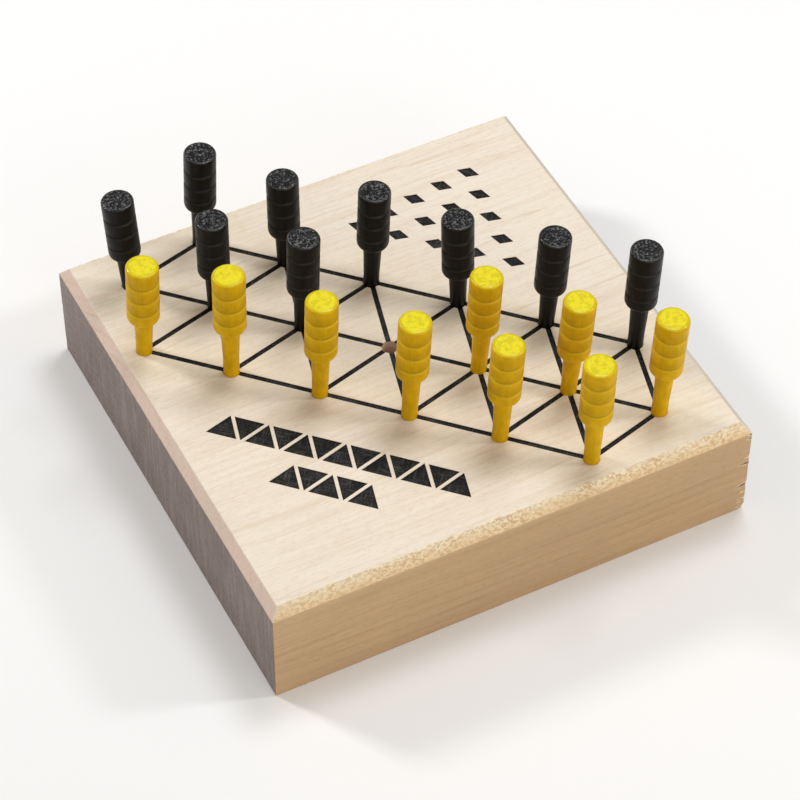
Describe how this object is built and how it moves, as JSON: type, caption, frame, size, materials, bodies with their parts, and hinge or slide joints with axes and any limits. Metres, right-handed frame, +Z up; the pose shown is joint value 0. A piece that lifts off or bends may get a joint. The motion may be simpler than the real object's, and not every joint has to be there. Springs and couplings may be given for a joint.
{
  "type": "peg jumping game",
  "caption": "Wooden jumping game: thick square board with holes on a triangular lattice, and black and yellow turned pegs that lift out, with the middle hole left free.",
  "frame": {"origin": "middle of the board's underside, on the surface that it stands on", "axes": "+Z up out of the playing face; +X with the grain, from the front corner to the right-hand corner; +Y from the front corner to the left-hand corner; the rows of holes run along the diagonal from left to right"},
  "size_m": [0.15, 0.147, 0.0753],
  "materials": {
    "board_wood": "sanded pale hardwood, unvarnished, burnt black lines and ornaments",
    "black_paint": "turned hardwood under gloss black paint",
    "yellow_paint": "turned hardwood under semi-gloss yellow paint"
  },
  "bodies": {
    "board": {"board": "board_wood"},
    "black_peg_1": {"black_peg_1": "black_paint"},
    "black_peg_2": {"black_peg_2": "black_paint"},
    "black_peg_3": {"black_peg_3": "black_paint"},
    "black_peg_4": {"black_peg_4": "black_paint"},
    "black_peg_5": {"black_peg_5": "black_paint"},
    "black_peg_6": {"black_peg_6": "black_paint"},
    "black_peg_7": {"black_peg_7": "black_paint"},
    "black_peg_8": {"black_peg_8": "black_paint"},
    "black_peg_9": {"black_peg_9": "black_paint"},
    "yellow_peg_1": {"yellow_peg_1": "yellow_paint"},
    "yellow_peg_2": {"yellow_peg_2": "yellow_paint"},
    "yellow_peg_3": {"yellow_peg_3": "yellow_paint"},
    "yellow_peg_4": {"yellow_peg_4": "yellow_paint"},
    "yellow_peg_5": {"yellow_peg_5": "yellow_paint"},
    "yellow_peg_6": {"yellow_peg_6": "yellow_paint"},
    "yellow_peg_7": {"yellow_peg_7": "yellow_paint"},
    "yellow_peg_8": {"yellow_peg_8": "yellow_paint"},
    "yellow_peg_9": {"yellow_peg_9": "yellow_paint"}
  },
  "joints": [
    {"name": "black_peg_1_lift", "type": "slide", "parent": "board", "child": "black_peg_1", "axis": [0.0308, -0.0308, 0.999], "range_m": [0, 0.015]},
    {"name": "black_peg_2_lift", "type": "slide", "parent": "board", "child": "black_peg_2", "axis": [0, 0, 1], "range_m": [0, 0.015]},
    {"name": "black_peg_3_lift", "type": "slide", "parent": "board", "child": "black_peg_3", "axis": [0.0247, -0.0247, 0.9994], "range_m": [0, 0.015]},
    {"name": "black_peg_4_lift", "type": "slide", "parent": "board", "child": "black_peg_4", "axis": [-0.0123, 0.0123, 0.9998], "range_m": [0, 0.015]},
    {"name": "black_peg_5_lift", "type": "slide", "parent": "board", "child": "black_peg_5", "axis": [0.0308, -0.0308, 0.999], "range_m": [0, 0.015]},
    {"name": "black_peg_6_lift", "type": "slide", "parent": "board", "child": "black_peg_6", "axis": [0.0247, -0.0247, 0.9994], "range_m": [0, 0.015]},
    {"name": "black_peg_7_lift", "type": "slide", "parent": "board", "child": "black_peg_7", "axis": [-0.037, 0.037, 0.9986], "range_m": [0, 0.015]},
    {"name": "black_peg_8_lift", "type": "slide", "parent": "board", "child": "black_peg_8", "axis": [0.0062, -0.0062, 1], "range_m": [0, 0.015]},
    {"name": "black_peg_9_lift", "type": "slide", "parent": "board", "child": "black_peg_9", "axis": [0.0247, -0.0247, 0.9994], "range_m": [0, 0.015]},
    {"name": "yellow_peg_1_lift", "type": "slide", "parent": "board", "child": "yellow_peg_1", "axis": [0.0308, -0.0308, 0.999], "range_m": [0, 0.015]},
    {"name": "yellow_peg_2_lift", "type": "slide", "parent": "board", "child": "yellow_peg_2", "axis": [0.037, -0.037, 0.9986], "range_m": [0, 0.015]},
    {"name": "yellow_peg_3_lift", "type": "slide", "parent": "board", "child": "yellow_peg_3", "axis": [0.0308, -0.0308, 0.999], "range_m": [0, 0.015]},
    {"name": "yellow_peg_4_lift", "type": "slide", "parent": "board", "child": "yellow_peg_4", "axis": [0.0308, -0.0308, 0.999], "range_m": [0, 0.015]},
    {"name": "yellow_peg_5_lift", "type": "slide", "parent": "board", "child": "yellow_peg_5", "axis": [0.0123, -0.0123, 0.9998], "range_m": [0, 0.015]},
    {"name": "yellow_peg_6_lift", "type": "slide", "parent": "board", "child": "yellow_peg_6", "axis": [0.0247, -0.0247, 0.9994], "range_m": [0, 0.015]},
    {"name": "yellow_peg_7_lift", "type": "slide", "parent": "board", "child": "yellow_peg_7", "axis": [0.0308, -0.0308, 0.999], "range_m": [0, 0.015]},
    {"name": "yellow_peg_8_lift", "type": "slide", "parent": "board", "child": "yellow_peg_8", "axis": [0.0308, -0.0308, 0.999], "range_m": [0, 0.015]},
    {"name": "yellow_peg_9_lift", "type": "slide", "parent": "board", "child": "yellow_peg_9", "axis": [0.0123, -0.0123, 0.9998], "range_m": [0, 0.015]}
  ]
}
